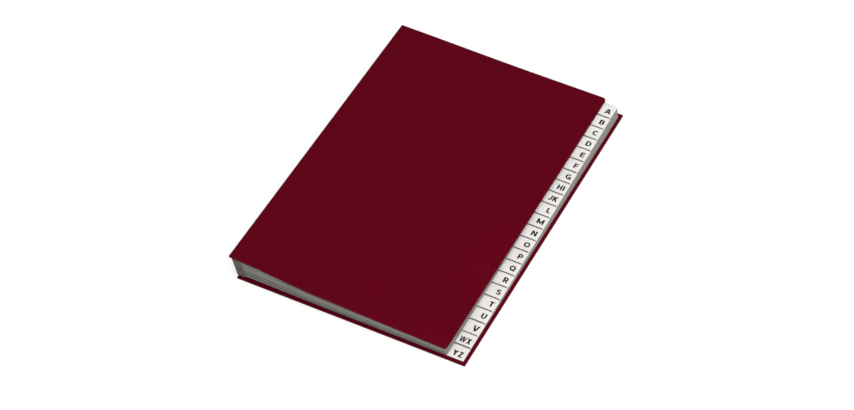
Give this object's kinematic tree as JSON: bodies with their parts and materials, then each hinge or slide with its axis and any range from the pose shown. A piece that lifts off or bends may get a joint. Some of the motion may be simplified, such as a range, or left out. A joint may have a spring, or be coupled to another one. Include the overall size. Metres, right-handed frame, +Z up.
{
  "type": "alphabetical desk sorter",
  "caption": "Desk sorter with burgundy board covers, grey step-cut index leaves with lettered white tabs, and a concertina cloth spine that lets every leaf turn.",
  "frame": {"origin": "on the desk, under the middle of the closed sorter's box", "axes": "+X from the spine to the fore-edge, +Y from the tail to the head, +Z up from the desk"},
  "size_m": [0.246, 0.34, 0.026],
  "materials": {
    "covering": "burgundy bookbinder's leatherette, fine pebble grain, low sheen",
    "greyboard": "raw grey bookboard",
    "lining": "matt grey lining paper",
    "leaf_card": "uncoated grey card with flecks, pale cut edges",
    "label_paper": "smooth white label paper with black print",
    "spine_cloth": "dark grey plain-weave bookbinder's cloth"
  },
  "bodies": {
    "back_cover": {"back_board": "greyboard", "back_wrap": "covering", "back_lining": "lining", "spine_gusset": "spine_cloth"},
    "page_yz": {"leaf_yz": "leaf_card", "tab_yz": "label_paper"},
    "page_wx": {"leaf_wx": "leaf_card", "tab_wx": "label_paper"},
    "page_v": {"leaf_v": "leaf_card", "tab_v": "label_paper"},
    "page_u": {"leaf_u": "leaf_card", "tab_u": "label_paper"},
    "page_t": {"leaf_t": "leaf_card", "tab_t": "label_paper"},
    "page_s": {"leaf_s": "leaf_card", "tab_s": "label_paper"},
    "page_r": {"leaf_r": "leaf_card", "tab_r": "label_paper"},
    "page_q": {"leaf_q": "leaf_card", "tab_q": "label_paper"},
    "page_p": {"leaf_p": "leaf_card", "tab_p": "label_paper"},
    "page_o": {"leaf_o": "leaf_card", "tab_o": "label_paper"},
    "page_n": {"leaf_n": "leaf_card", "tab_n": "label_paper"},
    "page_m": {"leaf_m": "leaf_card", "tab_m": "label_paper"},
    "page_l": {"leaf_l": "leaf_card", "tab_l": "label_paper"},
    "page_jk": {"leaf_jk": "leaf_card", "tab_jk": "label_paper"},
    "page_hi": {"leaf_hi": "leaf_card", "tab_hi": "label_paper"},
    "page_g": {"leaf_g": "leaf_card", "tab_g": "label_paper"},
    "page_f": {"leaf_f": "leaf_card", "tab_f": "label_paper"},
    "page_e": {"leaf_e": "leaf_card", "tab_e": "label_paper"},
    "page_d": {"leaf_d": "leaf_card", "tab_d": "label_paper"},
    "page_c": {"leaf_c": "leaf_card", "tab_c": "label_paper"},
    "page_b": {"leaf_b": "leaf_card", "tab_b": "label_paper"},
    "page_a": {"leaf_a": "leaf_card", "tab_a": "label_paper"},
    "front_cover": {"front_board": "greyboard", "front_wrap": "covering", "front_lining": "lining"}
  },
  "joints": [
    {"name": "turn_yz", "type": "hinge", "parent": "back_cover", "child": "page_yz", "pos_m": [-0.1169, 0, 0.0036], "axis": [0, 1, 0], "range_deg": [-8, 0], "deforming": ["spine_gusset"]},
    {"name": "turn_wx", "type": "hinge", "parent": "page_yz", "child": "page_wx", "pos_m": [-0.11705, 0, 0.00451], "axis": [0, 1, 0], "range_deg": [-8, 0], "deforming": ["spine_gusset"]},
    {"name": "turn_v", "type": "hinge", "parent": "page_wx", "child": "page_v", "pos_m": [-0.1172, 0, 0.00543], "axis": [0, 1, 0], "range_deg": [-8, 0], "deforming": ["spine_gusset"]},
    {"name": "turn_u", "type": "hinge", "parent": "page_v", "child": "page_u", "pos_m": [-0.11735, 0, 0.00634], "axis": [0, 1, 0], "range_deg": [-8, 0], "deforming": ["spine_gusset"]},
    {"name": "turn_t", "type": "hinge", "parent": "page_u", "child": "page_t", "pos_m": [-0.11751, 0, 0.00725], "axis": [0, 1, 0], "range_deg": [-8, 0], "deforming": ["spine_gusset"]},
    {"name": "turn_s", "type": "hinge", "parent": "page_t", "child": "page_s", "pos_m": [-0.11766, 0, 0.00816], "axis": [0, 1, 0], "range_deg": [-8, 0], "deforming": ["spine_gusset"]},
    {"name": "turn_r", "type": "hinge", "parent": "page_s", "child": "page_r", "pos_m": [-0.11781, 0, 0.00908], "axis": [0, 1, 0], "range_deg": [-8, 0], "deforming": ["spine_gusset"]},
    {"name": "turn_q", "type": "hinge", "parent": "page_r", "child": "page_q", "pos_m": [-0.11796, 0, 0.00999], "axis": [0, 1, 0], "range_deg": [-8, 0], "deforming": ["spine_gusset"]},
    {"name": "turn_p", "type": "hinge", "parent": "page_q", "child": "page_p", "pos_m": [-0.11812, 0, 0.0109], "axis": [0, 1, 0], "range_deg": [-8, 0], "deforming": ["spine_gusset"]},
    {"name": "turn_o", "type": "hinge", "parent": "page_p", "child": "page_o", "pos_m": [-0.11827, 0, 0.01182], "axis": [0, 1, 0], "range_deg": [-8, 0], "deforming": ["spine_gusset"]},
    {"name": "turn_n", "type": "hinge", "parent": "page_o", "child": "page_n", "pos_m": [-0.11842, 0, 0.01273], "axis": [0, 1, 0], "range_deg": [-8, 0], "deforming": ["spine_gusset"]},
    {"name": "turn_m", "type": "hinge", "parent": "page_n", "child": "page_m", "pos_m": [-0.11857, 0, 0.01364], "axis": [0, 1, 0], "range_deg": [-8, 0], "deforming": ["spine_gusset"]},
    {"name": "turn_l", "type": "hinge", "parent": "page_m", "child": "page_l", "pos_m": [-0.11873, 0, 0.01456], "axis": [0, 1, 0], "range_deg": [-8, 0], "deforming": ["spine_gusset"]},
    {"name": "turn_jk", "type": "hinge", "parent": "page_l", "child": "page_jk", "pos_m": [-0.11888, 0, 0.01547], "axis": [0, 1, 0], "range_deg": [-8, 0], "deforming": ["spine_gusset"]},
    {"name": "turn_hi", "type": "hinge", "parent": "page_jk", "child": "page_hi", "pos_m": [-0.11903, 0, 0.01639], "axis": [0, 1, 0], "range_deg": [-8, 0], "deforming": ["spine_gusset"]},
    {"name": "turn_g", "type": "hinge", "parent": "page_hi", "child": "page_g", "pos_m": [-0.11918, 0, 0.01731], "axis": [0, 1, 0], "range_deg": [-8, 0], "deforming": ["spine_gusset"]},
    {"name": "turn_f", "type": "hinge", "parent": "page_g", "child": "page_f", "pos_m": [-0.11934, 0, 0.01822], "axis": [0, 1, 0], "range_deg": [-8, 0], "deforming": ["spine_gusset"]},
    {"name": "turn_e", "type": "hinge", "parent": "page_f", "child": "page_e", "pos_m": [-0.11949, 0, 0.01914], "axis": [0, 1, 0], "range_deg": [-8, 0], "deforming": ["spine_gusset"]},
    {"name": "turn_d", "type": "hinge", "parent": "page_e", "child": "page_d", "pos_m": [-0.11964, 0, 0.02005], "axis": [0, 1, 0], "range_deg": [-8, 0], "deforming": ["spine_gusset"]},
    {"name": "turn_c", "type": "hinge", "parent": "page_d", "child": "page_c", "pos_m": [-0.11979, 0, 0.02097], "axis": [0, 1, 0], "range_deg": [-8, 0], "deforming": ["spine_gusset"]},
    {"name": "turn_b", "type": "hinge", "parent": "page_c", "child": "page_b", "pos_m": [-0.11995, 0, 0.02189], "axis": [0, 1, 0], "range_deg": [-8, 0], "deforming": ["spine_gusset"]},
    {"name": "turn_a", "type": "hinge", "parent": "page_b", "child": "page_a", "pos_m": [-0.1201, 0, 0.02281], "axis": [0, 1, 0], "range_deg": [-8, 0], "deforming": ["spine_gusset"]},
    {"name": "open_front_cover", "type": "hinge", "parent": "page_a", "child": "front_cover", "pos_m": [-0.123, 0, 0.02382], "axis": [0, -1, 0], "range_deg": [0, 187.5], "deforming": ["spine_gusset"]}
  ]
}
